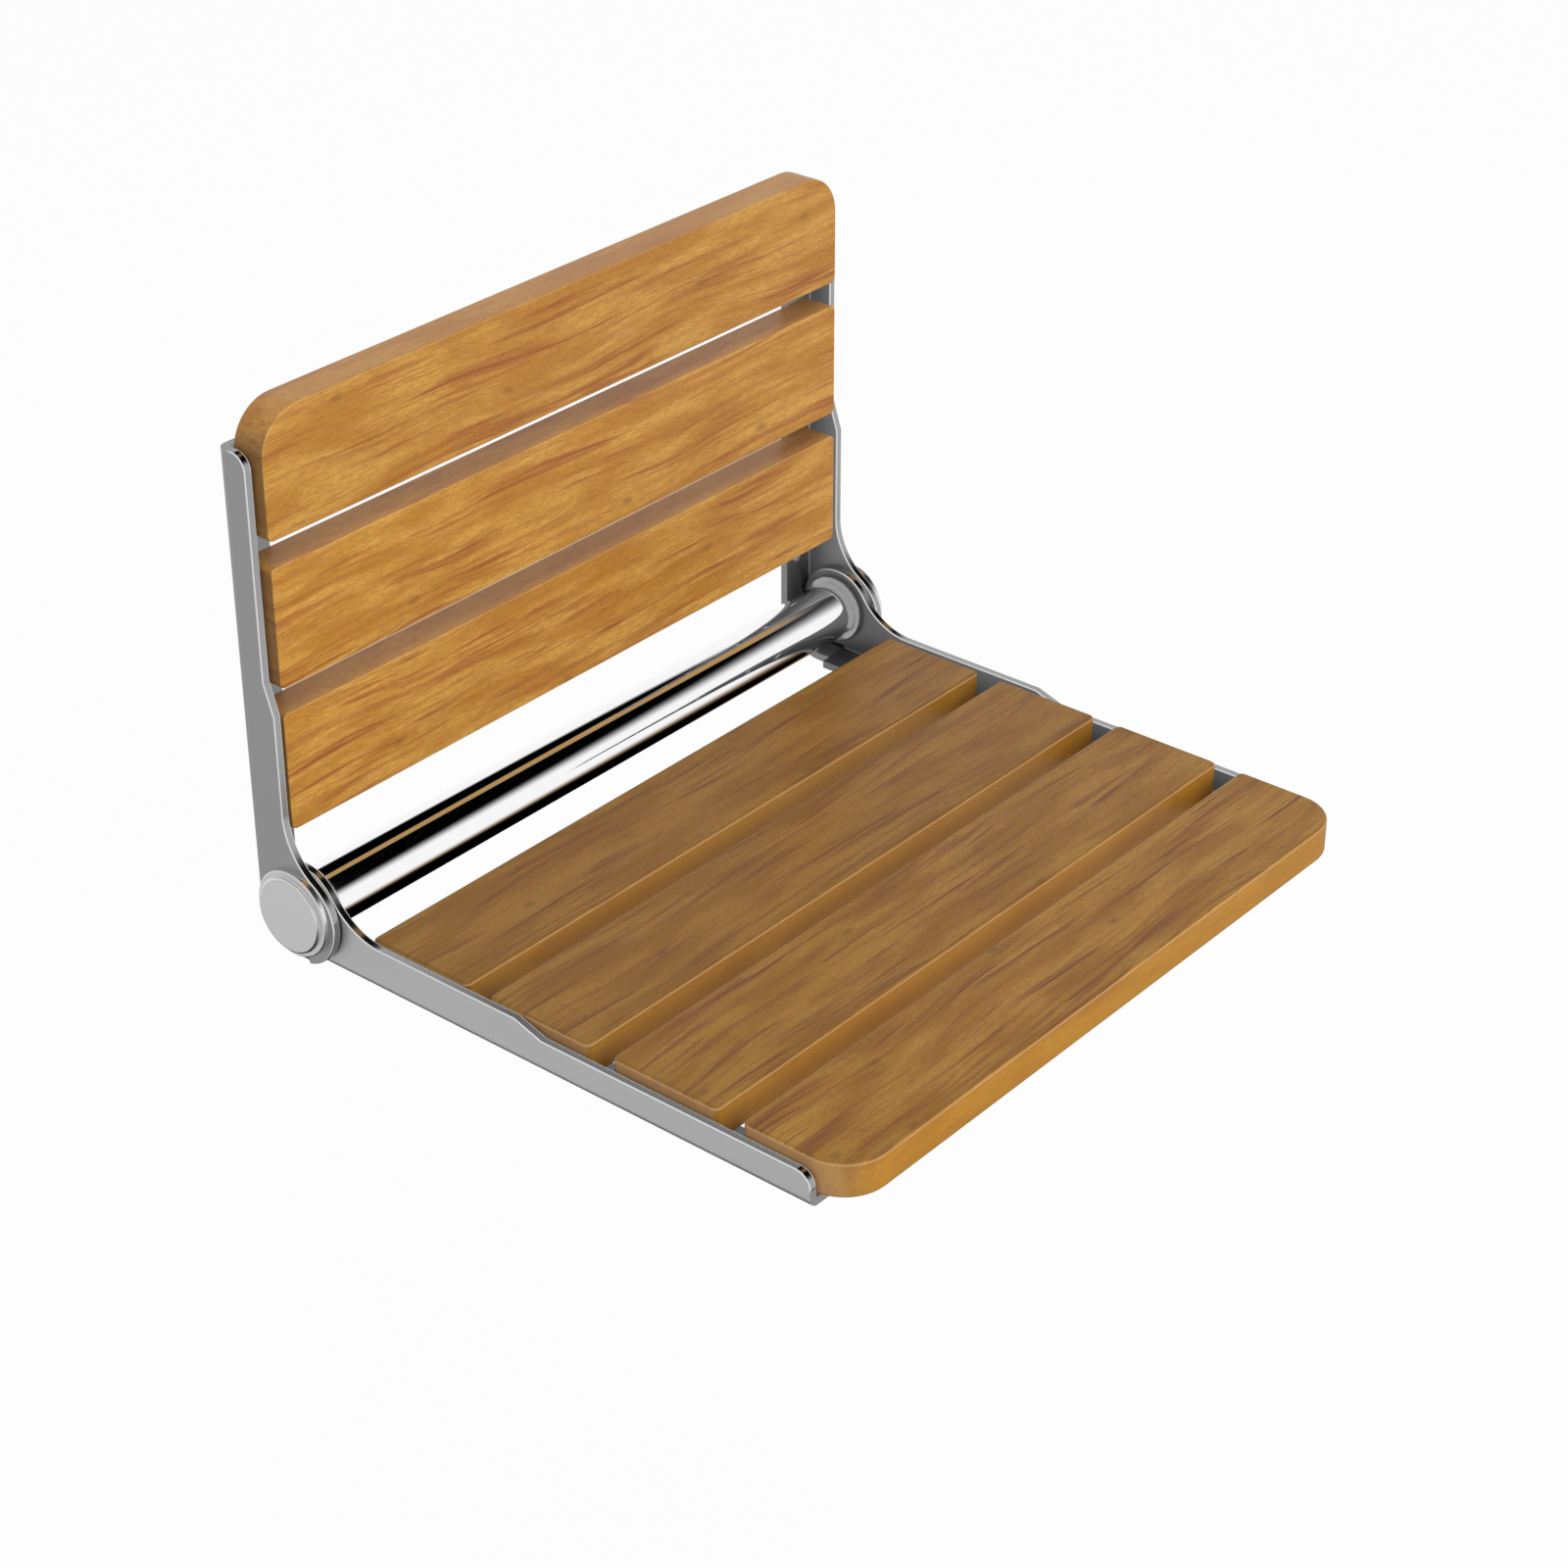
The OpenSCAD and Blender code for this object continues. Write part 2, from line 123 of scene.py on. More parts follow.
class Finish:
    """Node tree of one finish, built up node by node."""

    def __init__(self, tree):
        self.tree = tree
        tree.nodes.clear()

    def add(self, kind, settings=None, inputs=None, output=0):
        """Adds a node: first its settings, then the values or links of its sockets."""
        node = self.tree.nodes.new(kind)
        for key, value in (settings or {}).items():
            setattr(node, key, value)
        for key, value in (inputs or {}).items():
            if isinstance(value, Signal):
                self.tree.links.new(value.socket, node.inputs[key])
            else:
                node.inputs[key].default_value = value
        return Signal(self, node.outputs[output]) if node.outputs else None

    def place(self):
        """Object coordinates in millimetres, as three signals."""
        place = self.add("ShaderNodeTexCoord", output="Object")
        place = self.add("ShaderNodeMapping", None, {"Vector": place, "Scale": [1 / MM] * 3})
        return [self.add("ShaderNodeSeparateXYZ", None, {0: place}, axis) for axis in range(3)]

    def grain(self, x, y, z, detail=2.0, roughness=0.5):
        """Noise from 0 to 1, one feature for each unit of x, y and z."""
        at = self.add("ShaderNodeCombineXYZ", None, {0: x, 1: y, 2: z})
        sockets = {"Vector": at, "Scale": 1.0, "Detail": detail, "Roughness": roughness}
        return self.add("ShaderNodeTexNoise", None, sockets)

    def step(self, value, low, high):
        """Smooth step from 0 where value is low to 1 where it is high."""
        sockets = {"Value": value, "From Min": low, "From Max": high}
        return self.add("ShaderNodeMapRange", {"interpolation_type": "SMOOTHSTEP"}, sockets)

    def blend(self, share, first, second):
        """Colour between first and second, at share from 0 to 1."""
        ends = [tone if isinstance(tone, Signal) else (*tone, 1.0) for tone in (first, second)]
        sockets = {0: share, 6: ends[0], 7: ends[1]}
        return self.add("ShaderNodeMix", {"data_type": "RGBA"}, sockets, 2)

    def grey(self, level, blue=1.0):
        """Grey of the level given, with its blue raised a little for a cold steel."""
        cold = level * blue if blue != 1.0 else level
        return self.add("ShaderNodeCombineColor", None, {0: level, 1: level, 2: cold})

    def relief(self, height, depth):
        """Normal bumped by height from 0 to 1, over a depth in metres."""
        return self.add("ShaderNodeBump", None, {"Height": height, "Distance": depth})

    def surface(self, **sockets):
        """Ends the tree in a Principled shader with the sockets given."""
        named = {key.replace("_", " "): value for key, value in sockets.items()}
        shader = self.add("ShaderNodeBsdfPrincipled", None, named)
        self.add("ShaderNodeOutputMaterial", None, {"Surface": shader})


def new_finish(name):
    """Material with an empty tree, and the tree to fill."""
    material = bpy.data.materials.new(name)
    material.use_nodes = True
    return material, Finish(material.node_tree)


def oiled_wood(name, across, colours):
    """Hardwood with its grain along X. A long slow wave bends every lane of grain. Reddish
    streaks run in a few zones, fine fibres and pores everywhere, with a small bud mark about
    every 100 mm. The long sides' own colour is painted light, the ends' colour is end grain
    and painted light, rounded edges carry a painted highlight and a painted dark reflection,
    and whole boards darken by painted shade."""
    material, wood = new_finish(name)
    x, y, z = wood.place()
    width, depth = (z, y) if across == "Z" else (y, z)
    board, shade, end, flank_light, painted_highlight, shaded = [
        wood.add("ShaderNodeAttribute", {"attribute_name": key}, None, "Fac")
        for key in ("board", "shade", "end_grain_and_light", "flank_light", "painted_highlight", "shaded")]
    x = x + board * BOARD_OFFSET
    lane = width
    for length, breadth, shift, height in WAVES:
        wave = wood.grain(x / length, width / breadth, board * shift, 1.0) - 0.5
        lane = lane + wave * height
    noise, layer = {}, {}
    for key, (length, breadth, deep, shift, detail, roughness, low, high) in LAYERS.items():
        noise[key] = wood.grain(x / length, lane / breadth, depth / deep + board * shift,
                                detail, roughness)
        layer[key] = wood.step(noise[key], low, high)
    at = wood.add("ShaderNodeCombineXYZ", None,
                  {0: x / BUD_LENGTH, 1: lane / BUD_WIDTH + board * BUD_SHIFT})
    away = wood.add("ShaderNodeTexVoronoi", {"voronoi_dimensions": "2D"},
                    {"Vector": at, "Scale": 1.0, "Randomness": BUD_SPREAD})
    bud = 1.0 - wood.step(away, BUD_CORE, BUD_RIM)
    zoned = (layer["broad"] * BROAD_IN_ZONE + layer["thread"] * THREAD_IN_ZONE) * layer["zone"]
    tone = wood.blend(layer["cloud"] * CLOUD_SHARE, colours["light"], colours["deep"])
    tone = wood.blend(layer["broad"] * BROAD_SHARE + zoned, tone, colours["streak"])
    tone = wood.blend(layer["pore"] * PORE_SHARE + bud * BUD_SHARE, tone, colours["fleck_and_shade"])
    tone = wood.blend(layer["fibre"] * FIBRE_SHARE, tone, colours["fleck_and_shade"])
    # Painted light: the long sides take their own colour for the light that falls on them.
    tone = wood.blend(flank_light * SIDE_LIGHT_SHARE, tone, colours["side"])
    # End grain and painted light: the ends take their own colour, partly for the end grain,
    # partly for the light on them.
    tone = wood.blend(end * END_SHARE, tone, colours["end"])
    # Painted shade: whole boards darken by their shade, and a painted dark reflection runs along
    # rounded edges.
    tone = wood.blend(shade + shaded * SHADED_SHARE, tone, colours["fleck_and_shade"])
    # Painted highlight along rounded edges.
    tone = wood.blend(painted_highlight * HIGHLIGHT_SHARE, tone, HIGHLIGHT_WOOD)
    wood.surface(Base_Color=tone, Roughness=WOOD_ROUGHNESS + noise["fibre"] * FIBRE_ROUGHNESS,
                 Coat_Weight=0.1, Coat_Roughness=0.2, Specular_IOR_Level=0.3,
                 Normal=wood.relief(noise["fibre"] - layer["pore"] * 0.5, FIBRE_RELIEF))
    return material


def put_mesh(name, points, faces, material, body, node):
    """New piece from points and faces, smooth, in its finish, riding on its body."""
    mesh = bpy.data.meshes.new(name)
    mesh.from_pydata(points.reshape(-1, 3).tolist(), [], faces)
    mesh.update()
    mesh.shade_smooth()
    piece = bpy.data.objects.new(name, mesh)
    bpy.context.scene.collection.objects.link(piece)
    mesh.materials.append(material)
    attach(piece, body)
    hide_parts(node)
    return piece


def closed_rings(rings, sides):
    """Quads between rings of points that close on themselves, wound to face outwards."""
    ring, side = np.meshgrid(np.arange(rings - 1), np.arange(sides), indexing="ij")
    following = (side + 1) % sides
    quads = [ring * sides + side, ring * sides + following,
             (ring + 1) * sides + following, (ring + 1) * sides + side]
    return np.stack(quads, -1).reshape(-1, 4).tolist()


def board_marks(across, lean, angle):
    """Shares from 0 to 1 that the finish reads at each point. lean turns from 0 on a face to
    90 degrees on the sides, angle turns once round the board, so that a side's share is
    sin(lean) to the eighth, at the ends times cos(angle) to the fourth and along the board
    times sin(angle) to the fourth. The painted highlight and the painted dark reflection on
    rounded edges fade with the angle from up."""
    half = np.where(np.arange(len(lean)) < len(lean) / 2, 1, -1)[:, None]
    if across == "Z":
        upright = np.sin(lean) * np.sin(angle)
    else:
        upright = half * np.cos(lean) * np.ones(len(angle))
    tilt = np.degrees(np.arccos(np.clip(upright, -1, 1)))
    on_edge = (np.sin(2 * lean) > CURVED) * np.ones(len(angle))
    on_side = np.sin(lean) ** 8
    return {"end_grain_and_light": on_side * np.cos(angle) ** 4,
            "flank_light": on_side * np.sin(angle) ** 4,
            "painted_highlight": np.clip(1 - abs(tilt - HIGHLIGHT_AT) / HIGHLIGHT_SPREAD, 0, 1) * on_edge,
            "shaded": np.clip(1 - abs(tilt - SHADED_AT) / SHADED_SPREAD, 0, 1) * on_edge}


def board_piece(node, number, across, body, material, corners, edge, shade):
    """Slat as rings of a rounded rectangle. A ring at inset d has corner radii r - d about the
    same four centres. Insets and heights follow a quarter circle at both faces, so that
    inset = e - e sin a and height = e - e cos a, and one more ring keeps each face flat."""
    low, high = (np.array(corner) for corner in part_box(node))
    size = high - low
    width_axis, thick_axis = (2, 1) if across == "Z" else (1, 2)
    length, width, thick = size[0], size[width_axis], size[thick_axis]
    near, far = corners
    turn = np.linspace(0, np.pi / 2, CORNER_STEPS)
    radii = np.repeat([far, far, near, near], CORNER_STEPS)
    angle = np.concatenate([turn + quarter * np.pi / 2 for quarter in range(4)])
    centre_u = np.repeat([length / 2 - far, far - length / 2, near - length / 2,
                          length / 2 - near], CORNER_STEPS)
    centre_v = np.repeat([width - far, width - far, near, near], CORNER_STEPS)
    bend = np.linspace(0, np.pi / 2, EDGE_STEPS)
    lower = np.stack([edge - edge * np.sin(bend), edge - edge * np.cos(bend)])
    lower = np.insert(lower, 0, [edge + HOLDING_LOOP, 0], axis=1)
    upper = np.stack([lower[0, ::-1], thick - lower[1, ::-1]])
    inset, height = np.concatenate([lower, upper], axis=1)
    reach = radii[None, :] - inset[:, None]
    u = centre_u + reach * np.cos(angle)
    v = centre_v + reach * np.sin(angle)
    w = np.broadcast_to(height[:, None], u.shape)
    points = np.empty(u.shape + (3,))
    points[..., 0] = (low[0] + high[0]) / 2 + u
    if across == "Z":
        points[..., 2] = low[2] + v
        points[..., 1] = high[1] - w
    else:
        points[..., 1] = high[1] - v
        points[..., 2] = high[2] - w
    rings, sides = u.shape
    faces = closed_rings(rings, sides)
    faces.append(list(range(sides))[::-1])
    faces.append(list(range((rings - 1) * sides, rings * sides)))
    piece = put_mesh("wood_" + node, points, faces, material, body, node)
    # Mirror metal shows the plain studio, not the boards.
    piece.visible_glossy = False
    lean = np.concatenate([[0], bend, bend[::-1], [0]])[:, None]
    marks = board_marks(across, lean, angle)
    marks["board"] = np.full(u.shape, number)
    marks["shade"] = np.full(u.shape, shade)
    for key, amount in marks.items():
        mark = piece.data.attributes.new(key, "FLOAT", "POINT")
        mark.data.foreach_set("value", np.ascontiguousarray(amount, dtype=np.float32).ravel())


back_wood = oiled_wood("oiled_back_wood", "Z", BACK_COLOURS)
for number, (node, shade) in enumerate(BACK_BOARDS.items(), 1):
    far = BIG_CORNER if node == "back_slat_top" else PLAIN_CORNER
    board_piece(node, number, "Z", "wall_frame", back_wood, (PLAIN_CORNER, far),
                BACK_EDGE, shade)

# Seat slats: four boards like those of the back and more rounded, the front one with big
# front corners; their darker, browner colours are painted shade on the same timber. Four
# pan head screws from below hold each one.
SEAT_EDGE = 1.8 * MM
SEAT_COLOURS = {"light": (0.45, 0.228, 0.034), "deep": (0.3, 0.126, 0.009),
                "streak": (0.18, 0.05, 0.018), "fleck_and_shade": (0.16, 0.075, 0.014),
                "side": (0.6, 0.26, 0.016), "end": (0.56, 0.31, 0.13)}
# Painted shade, deepest by the wall: how much darker each seat board is, wall to front.
SEAT_BOARDS = {"seat_slat_1": 0.36, "seat_slat_2": 0.34, "seat_slat_3": 0.2, "seat_slat_4": 0.04}
# Number that picks the first seat board's own piece of the grain, after the back's 1 to 3.
FIRST_SEAT_GRAIN = 4.5

seat_wood = oiled_wood("oiled_seat_wood", "Y", SEAT_COLOURS)
for number, (node, shade) in enumerate(SEAT_BOARDS.items()):
    far = BIG_CORNER if node == "seat_slat_4" else PLAIN_CORNER
    board_piece(node, number + FIRST_SEAT_GRAIN, "Y", "seat", seat_wood,
                (PLAIN_CORNER, far), SEAT_EDGE, shade)

# Back arms: stainless sheet, laser cut and bent to an angle whose rim wraps round under the
# hinge. Sides are brushed along the arm, the inside is duller, and cut edges are buffed.
EDGE_POLISH = 0.5 * MM
EDGE_SEGMENTS = 3
WELD = 0.001 * MM
SHARP = math.radians(30)
FLAT = math.radians(0.5)
NARROW = 0.7
SIDE_FACE, ROUNDED_EDGE, CUT_FACE, INSIDE_FACE = range(4)
SQUARE_TO_X, LEANS_IN = 0.1, 0.5
BACK_STEEL, BACK_INSIDE, POLISHED_STEEL, CUT_STEEL = 0.42, 0.34, 0.9, 0.36
SATIN_ROUGHNESS, POLISHED_ROUGHNESS, CUT_ROUGHNESS = 0.42, 0.16, 0.14
GROOVE_LENGTH, GROOVE_WIDTH, GROOVE_DEPTH, SHEET_PATCH = 60.0, 0.22, 0.008 * MM, 45
HAIRLINE, HAIRLINE_DEPTH, POLISH_PATCH = 0.5, 0.001 * MM, 9


def brushed_steel(name, along, level):
    """Satin sheet: fine grooves run along one axis, and grey and gloss vary with them by a
    few hundredths."""
    material, steel = new_finish(name)
    place = steel.place()
    pitch = [GROOVE_LENGTH if axis == along else GROOVE_WIDTH for axis in "XYZ"]
    groove = steel.grain(*[part / step for part, step in zip(place, pitch)], 2.0, 0.6)
    patch = steel.grain(*[part / SHEET_PATCH for part in place], 2.0)
    tone = steel.grey(level * (0.95 + groove * 0.05 + patch * 0.05), 1.005)
    steel.surface(Base_Color=tone, Metallic=1.0, Roughness=SATIN_ROUGHNESS + patch * 0.06,
                  Normal=steel.relief(groove, GROOVE_DEPTH))
    return material


def polished_steel(name, level, roughness):
    """Buffed metal: almost a mirror, with faint hairlines and soft patches in its gloss."""
    material, steel = new_finish(name)
    place = steel.place()
    patch = steel.grain(*[part / POLISH_PATCH for part in place], 3.0)
    hairline = steel.grain(*[part / HAIRLINE for part in place], 1.0)
    tone = steel.grey(level * (0.97 + patch * 0.04))
    steel.surface(Base_Color=tone, Metallic=1.0, Roughness=roughness + patch * 0.05,
                  Normal=steel.relief(hairline, HAIRLINE_DEPTH))
    return material


def mark_rounded_edges(sheet):
    """Gives weight to each edge where a flat side meets a cut edge. Where two of them leave a
    point in nearly one direction, the shorter one stays sharp, so that no spike grows there."""
    rounded = sheet.edges.layers.float.new("bevel_weight_edge")
    for edge in sheet.edges:
        cut = sum(face.material_index == CUT_FACE for face in edge.link_faces)
        edge[rounded] = float(edge.calc_face_angle(0) > SHARP and cut == 1)
    for vert in sheet.verts:
        marked = sorted((edge for edge in vert.link_edges if edge[rounded]),
                        key=lambda edge: edge.calc_length())
        reach = [(edge.other_vert(vert).co - vert.co).normalized() for edge in marked]
        for number, edge in enumerate(marked):
            if any(reach[number].dot(longer) > NARROW for longer in reach[number + 1:]):
                edge[rounded] = 0.0


def pressed_arm(node, body, inside, finishes):
    """The arm's own surface with its triangles welded and its flat faces whole again. Faces
    whose normal is square to X and that lie within the side sheet are its cut edges. Faces
    whose normal leans to the slats or to the inside, by the sum of both shares, are inside.
    A bevel of an eighth of the sheet is buffed along the cut edges."""
    mesh = bpy.data.meshes.new("pressed_" + node)
    sheet = bmesh.new()
    sheet.from_mesh(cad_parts[node].data)
    bmesh.ops.remove_doubles(sheet, verts=sheet.verts, dist=WELD)
    bmesh.ops.dissolve_limit(sheet, angle_limit=FLAT, verts=sheet.verts, edges=sheet.edges)
    outer = max(abs(vert.co.x) for vert in sheet.verts)
    for face in sheet.faces:
        inner = min(abs(vert.co.x) for vert in face.verts)
        hand = math.copysign(1, face.verts[0].co.x)
        if abs(face.normal.x) < SQUARE_TO_X and inner > outer - SHEET - WELD:
            face.material_index = CUT_FACE
        elif face.normal.dot(Vector(inside)) - face.normal.x * hand > LEANS_IN:
            face.material_index = INSIDE_FACE
        else:
            face.material_index = SIDE_FACE
        face.smooth = True
    mark_rounded_edges(sheet)
    sheet.to_mesh(mesh)
    sheet.free()
    mesh.set_sharp_from_angle(angle=SHARP)
    piece = bpy.data.objects.new("pressed_" + node, mesh)
    bpy.context.scene.collection.objects.link(piece)
    for finish in finishes:
        mesh.materials.append(finish)
    rounding = piece.modifiers.new("rounded_edges", "BEVEL")
    rounding.width = EDGE_POLISH
    rounding.segments = EDGE_SEGMENTS
    rounding.use_clamp_overlap = False
    rounding.limit_method = "WEIGHT"
    rounding.material = ROUNDED_EDGE
    rounding.miter_outer = "MITER_ARC"
    levelling = piece.modifiers.new("level_faces", "WEIGHTED_NORMAL")
    levelling.keep_sharp = True
    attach(piece, body)
    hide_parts(node)


# The bush reaches out of the collar to the seat arm's outer side, flush with it, so that
# what stands past the collar is one sheet.
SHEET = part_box("hinge_bush_right")[1].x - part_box("tube_collar_right")[1].x
edge_steel = polished_steel("polished_sheet_edge", POLISHED_STEEL, POLISHED_ROUGHNESS)
cut_steel = polished_steel("laser_cut_edge", CUT_STEEL, CUT_ROUGHNESS)
back_steel = [brushed_steel("brushed_back_arm", "Z", BACK_STEEL), edge_steel, cut_steel,
              brushed_steel("back_arm_inside", "Z", BACK_INSIDE)]
for node in ["back_arm_left", "back_arm_right"]:
    pressed_arm(node, "wall_frame", (0, -1, 0), back_steel)

# Seat arms: the same sheet and bend, with a round ear at the hinge and the slat flange
# underneath. They are brushed along the seat; their grey is set brighter than the back
# arms' as a painted reflection.
# Painted reflection: the seat arms' brighter grey stands for the brighter light their sides
# reflect.
SEAT_STEEL, SEAT_INSIDE = 0.64, 0.24
seat_steel = [brushed_steel("brushed_seat_arm", "Y", SEAT_STEEL), edge_steel, cut_steel,
              brushed_steel("seat_arm_inside", "Y", SEAT_INSIDE)]
for node in ["seat_arm_left", "seat_arm_right"]:
    pressed_arm(node, "seat", (0, 0, 1), seat_steel)

# Slat screws: stainless, countersunk and flush behind the back, pan heads under the seat,
# all with a hexagon socket. The CAD solids keep their shape.
SCREW_STEEL, SCREW_ROUGHNESS = 0.58, 0.28
GRIT, GRIT_DEPTH, PLAIN_PATCH = 0.3, 0.004 * MM, 3


def plain_steel(name, level, roughness):
    """Turned or headed steel: a little grainy, its gloss and grey broken by small patches."""
    material, steel = new_finish(name)
    place = steel.place()
    patch = steel.grain(*[part / PLAIN_PATCH for part in place], 3.0)
    grit = steel.grain(*[part / GRIT for part in place], 1.0)
    tone = steel.grey(level * (0.9 + patch * 0.15), 1.01)
    steel.surface(Base_Color=tone, Metallic=1.0, Roughness=roughness + patch * 0.12,
                  Normal=steel.relief(grit, GRIT_DEPTH))
    return material


def refinish(nodes, material):
    """Puts a finish on CAD solids that keep their own mesh."""
    for node in nodes:
        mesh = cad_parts[node].data
        mesh.materials.clear()
        mesh.materials.append(material)


screw_steel = plain_steel("headed_screw_steel", SCREW_STEEL, SCREW_ROUGHNESS)
refinish(["back_screws_left", "back_screws_right", "seat_screws_left", "seat_screws_right"],
         screw_steel)

# Cross tube: round steel tube, chromed to a mirror. It spaces the two seat arms and turns
# with them, and slides over a spigot on each collar.
TUBE_WALL = 1.5 * MM
TUBE_ROUND = 0.3 * MM
CHROME, CHROME_ROUGHNESS = 0.93, 0.02
TURNED_SIDES = 128


def rounded_profile(corners, radii, steps=8):
    """Polyline of (radius, station) with each corner replaced by an arc that touches both
    sides: the arc starts and ends r * tan(turn / 2) from the corner, on each side."""
    corners = np.array(corners, dtype=float)
    path = [corners[:1]]
    for before, corner, after, radius in zip(corners, corners[1:], corners[2:], radii):
        back = (before - corner) / np.linalg.norm(before - corner)
        ahead = (after - corner) / np.linalg.norm(after - corner)
        half = np.arccos(np.clip(back @ ahead, -1, 1)) / 2
        middle = (back + ahead) / np.linalg.norm(back + ahead)
        centre = corner + middle * radius / np.sin(half)
        spread = np.linspace(-1, 1, steps) * (np.pi / 2 - half)
        square = (ahead - back) / np.linalg.norm(ahead - back)
        path.append(centre - radius * (np.cos(spread)[:, None] * middle
                                       - np.sin(spread)[:, None] * square))
    path.append(corners[-1:])
    return np.concatenate(path)


def turned_piece(name, profile, node, body, material, mirrored=False):
    """Profile of (radius, station along X) carried round the node's own axis. Both ends of the
    profile either lie on the axis, where a fan closes them, or meet each other."""
    low, high = (np.array(corner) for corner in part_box(node))
    centre = (low + high) / 2
    sides = TURNED_SIDES
    angle = np.linspace(0, 2 * np.pi, sides, endpoint=False)
    on_axis = profile[0, 0] == 0
    radius, station = (profile[1:-1] if on_axis else profile[:-1]).T
    flip = -1 if mirrored else 1
    points = np.stack(np.broadcast_arrays(flip * station[:, None],
                                          centre[1] + radius[:, None] * np.cos(angle),
                                          centre[2] + radius[:, None] * np.sin(angle)), -1)
    rings = len(radius)
    faces = closed_rings(rings, sides)
    base = (rings - 1) * sides
    if on_axis:
        first = [[(side + 1) % sides, side, rings * sides] for side in range(sides)]
        last = [[base + side, base + (side + 1) % sides, rings * sides + 1]
                for side in range(sides)]
        poles = np.array([[flip * profile[0, 1], centre[1], centre[2]],
                          [flip * profile[-1, 1], centre[1], centre[2]]])
        points = np.concatenate([points.reshape(-1, 3), poles])
        faces += first + last
    else:
        faces += [[base + side, base + (side + 1) % sides, (side + 1) % sides, side]
                  for side in range(sides)]
    piece = put_mesh(name, points, faces, material, body, node)
    shell = bmesh.new()
    shell.from_mesh(piece.data)
    bmesh.ops.recalc_face_normals(shell, faces=shell.faces)
    shell.to_mesh(piece.data)
    shell.free()
    piece.data.set_sharp_from_angle(angle=SHARP)


def box_radius(node):
    """Radius of a turned node about the hinge axis."""
    low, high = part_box(node)
    return (high.z - low.z) / 2


chrome = polished_steel("mirror_chrome", CHROME, CHROME_ROUGHNESS)
tube_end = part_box("cross_tube")[1].x
tube_r = box_radius("cross_tube")
bore_r = tube_r - TUBE_WALL
tube_profile = rounded_profile(
    [(bore_r, 0), (bore_r, tube_end), (tube_r, tube_end), (tube_r, -tube_end),
     (bore_r, -tube_end), (bore_r, 0)], [TUBE_ROUND] * 4, 4)
turned_piece("chromed_cross_tube", tube_profile, "cross_tube", "seat", chrome)

# Tube collars: turned steel rings, chromed like the tube but less bright, one on each of its
# ends. Their spigots centre the tube, and each is welded to its seat arm.
COLLAR_ROUND = 0.6 * MM
COLLAR_CHROME, COLLAR_ROUGHNESS = 0.5, 0.12
FIT = 0.05 * MM
collar_chrome = polished_steel("turned_collar_chrome", COLLAR_CHROME, COLLAR_ROUGHNESS)
collar_in, collar_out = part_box("tube_collar_right")[0].x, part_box("tube_collar_right")[1].x
collar_middle = (collar_in + collar_out) / 2
collar_r = box_radius("tube_collar_right")
collar_bore = box_radius("hinge_bush_right") + FIT
collar_profile = rounded_profile(
    [(collar_bore, collar_middle), (collar_bore, collar_in), (bore_r - FIT, collar_in),
     (bore_r - FIT, tube_end), (collar_r, tube_end), (collar_r, collar_out),
     (collar_bore, collar_out), (collar_bore, collar_middle)],
    [FIT, COLLAR_ROUND / 2, FIT, COLLAR_ROUND, COLLAR_ROUND, FIT])
for hand, mirrored in (("right", False), ("left", True)):
    turned_piece("chromed_collar_" + hand, collar_profile, "tube_collar_" + hand, "seat",
                 collar_chrome, mirrored)

# Bushes, washers, axle and nuts: a brass bush turns on the steel axle in each seat arm, a
# plastic washer keeps two arms apart, and a thin lock nut closes each end.
DARK_BRASS, BRIGHT_BRASS = (0.5, 0.31, 0.1), (0.62, 0.42, 0.16)
DARK_NYLON, BRIGHT_NYLON = (0.76, 0.74, 0.67), (0.84, 0.82, 0.76)
AXLE_STEEL, AXLE_ROUGHNESS = 0.55, 0.22
BRASS_RING, BRASS_RING_DEPTH = 0.3, 0.004 * MM
SPECKLE, SPECKLE_DEPTH = 0.8, 0.01 * MM
bush_brass, brass = new_finish("turned_brass")
x, y, z = brass.place()
ring = brass.grain(x / BRASS_RING, y / 20, z / 20, 1.0)
brass.surface(Base_Color=brass.blend(ring, DARK_BRASS, BRIGHT_BRASS), Metallic=1.0,
              Roughness=0.25 + ring * 0.15, Normal=brass.relief(ring, BRASS_RING_DEPTH))
washer_plastic, nylon = new_finish("moulded_nylon")
speckle = nylon.grain(*[part / SPECKLE for part in nylon.place()], 2.0)
nylon.surface(Base_Color=nylon.blend(speckle, DARK_NYLON, BRIGHT_NYLON),
              Roughness=0.45 + speckle * 0.15, Normal=nylon.relief(speckle, SPECKLE_DEPTH))
axle_steel = plain_steel("turned_axle_steel", AXLE_STEEL, AXLE_ROUGHNESS)
refinish(["hinge_bush_left", "hinge_bush_right"], bush_brass)
refinish(["spacer_washer_left", "spacer_washer_right"], washer_plastic)
refinish(["hinge_axle", "axle_nut_left", "axle_nut_right"], axle_steel)

# Hub caps: turned steel covers pressed over the nuts, a wide rim and a smaller flat face
# that still shows the lathe's rings, its edge well rounded.
CAP_STEEL = 0.74
CAP_FACE_SHARE = 37.6 / 43
RIM_SHARE = 0.57
FACE_ROUND = 1.5 * MM
RIM_ROUND = 0.9 * MM
FOOT_ROUND = 0.3 * MM
LATHE_RING, LATHE_DEPTH, CAP_PATCH = 0.22, 0.008 * MM, 20


def turned_face(name, level, centre):
    """Lathe finish: fine rings about the hinge axis in grey, gloss and height."""
    material, steel = new_finish(name)
    x, y, z = steel.place()
    y, z = y - centre[0], z - centre[1]
    radius = (y * y + z * z) ** 0.5
    ring = steel.grain(radius / LATHE_RING, x / 40, 0.0, 2.0, 0.7)
    patch = steel.grain(x / CAP_PATCH, y / CAP_PATCH, z / CAP_PATCH, 1.0)
    tone = steel.grey(level * (0.92 + ring * 0.07 + patch * 0.08))
    steel.surface(Base_Color=tone, Metallic=1.0, Roughness=0.2 + ring * 0.1,
                  Normal=steel.relief(ring, LATHE_DEPTH))
    return material


